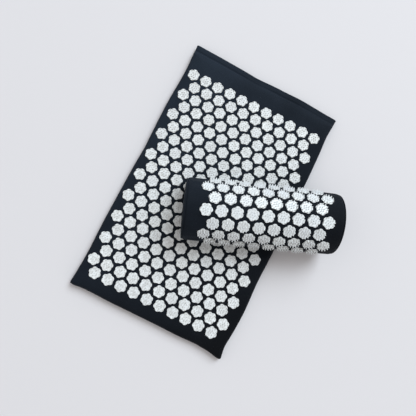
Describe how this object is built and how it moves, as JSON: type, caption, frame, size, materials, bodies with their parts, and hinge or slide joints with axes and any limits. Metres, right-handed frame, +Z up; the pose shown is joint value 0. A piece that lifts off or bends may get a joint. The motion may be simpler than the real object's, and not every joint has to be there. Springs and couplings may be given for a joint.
{
  "type": "acupressure mat",
  "caption": "Cotton-covered foam mat set with staggered white spike discs, a half-moon spike pillow lying across it; the covers close with coil zips.",
  "frame": {"origin": "middle of the mat's underside, on the surface that it lies on", "axes": "+X across the mat along its disc rows, towards the side that the pillow overhangs; +Y along the mat towards its head end; +Z up"},
  "size_m": [0.5354, 0.6889, 0.1385],
  "materials": {
    "cotton_cover": "matt woven cotton, black with a navy cast",
    "spike_plastic": "satin moulded plastic, cool white",
    "foam": "open-cell foam, off-white",
    "zip_tape": "black woven tape",
    "zip_coil": "black moulded coil",
    "zip_metal": "black enamelled zinc"
  },
  "bodies": {
    "mat": {"mat_top_panel": "cotton_cover", "mat_bottom_panel": "cotton_cover", "mat_foam_core": "foam", "mat_disc_row_01": "spike_plastic", "mat_disc_row_02": "spike_plastic", "mat_disc_row_03": "spike_plastic", "mat_disc_row_04": "spike_plastic", "mat_disc_row_05": "spike_plastic", "mat_disc_row_06": "spike_plastic", "mat_disc_row_07": "spike_plastic", "mat_disc_row_08": "spike_plastic", "mat_disc_row_09": "spike_plastic", "mat_disc_row_10": "spike_plastic", "mat_disc_row_11": "spike_plastic", "mat_disc_row_12": "spike_plastic", "mat_disc_row_13": "spike_plastic", "mat_disc_row_14": "spike_plastic", "mat_disc_row_15": "spike_plastic", "mat_disc_row_16": "spike_plastic", "mat_disc_row_17": "spike_plastic", "mat_disc_row_18": "spike_plastic", "mat_disc_row_19": "spike_plastic", "mat_disc_row_20": "spike_plastic", "mat_zip_tape_upper": "zip_tape", "mat_zip_tape_lower": "zip_tape", "mat_zip_coil_upper": "zip_coil", "mat_zip_coil_lower": "zip_coil", "mat_zip_stop_right": "zip_metal", "mat_zip_stop_left": "zip_metal"},
    "mat_slider": {"mat_zip_slider": "zip_metal"},
    "mat_pull": {"mat_zip_pull": "zip_metal"},
    "pillow": {"pillow_arch_panel": "cotton_cover", "pillow_base_panel": "cotton_cover", "pillow_end_panel_right": "cotton_cover", "pillow_end_panel_left": "cotton_cover", "pillow_foam_core": "foam", "pillow_disc_row_1": "spike_plastic", "pillow_disc_row_2": "spike_plastic", "pillow_disc_row_3": "spike_plastic", "pillow_disc_row_4": "spike_plastic", "pillow_disc_row_5": "spike_plastic", "pillow_disc_row_6": "spike_plastic", "pillow_disc_row_7": "spike_plastic", "pillow_zip_tape_upper": "zip_tape", "pillow_zip_tape_lower": "zip_tape", "pillow_zip_coil_upper": "zip_coil", "pillow_zip_coil_lower": "zip_coil", "pillow_zip_stop_right": "zip_metal", "pillow_zip_stop_left": "zip_metal"},
    "pillow_slider": {"pillow_zip_slider": "zip_metal"},
    "pillow_pull": {"pillow_zip_pull": "zip_metal"}
  },
  "joints": [
    {"name": "pillow_lift", "type": "slide", "parent": "mat", "child": "pillow", "axis": [0, 0, 1], "range_m": [0, 0.3]},
    {"name": "mat_zip_slide", "type": "slide", "parent": "mat", "child": "mat_slider", "axis": [-1, 0, 0], "range_m": [0, 0.3456]},
    {"name": "mat_pull_turn", "type": "hinge", "parent": "mat_slider", "child": "mat_pull", "pos_m": [0.1728, 0.3432, 0.0062], "axis": [0, 0, 1], "range_deg": [0, 180]},
    {"name": "pillow_zip_slide", "type": "slide", "parent": "pillow", "child": "pillow_slider", "axis": [-0.9317, -0.3633, 0], "range_m": [0, 0.2872]},
    {"name": "pillow_pull_turn", "type": "hinge", "parent": "pillow_slider", "child": "pillow_pull", "pos_m": [0.23483, 0.13122, 0.0399], "axis": [0, 0, 1], "range_deg": [0, 180]}
  ]
}
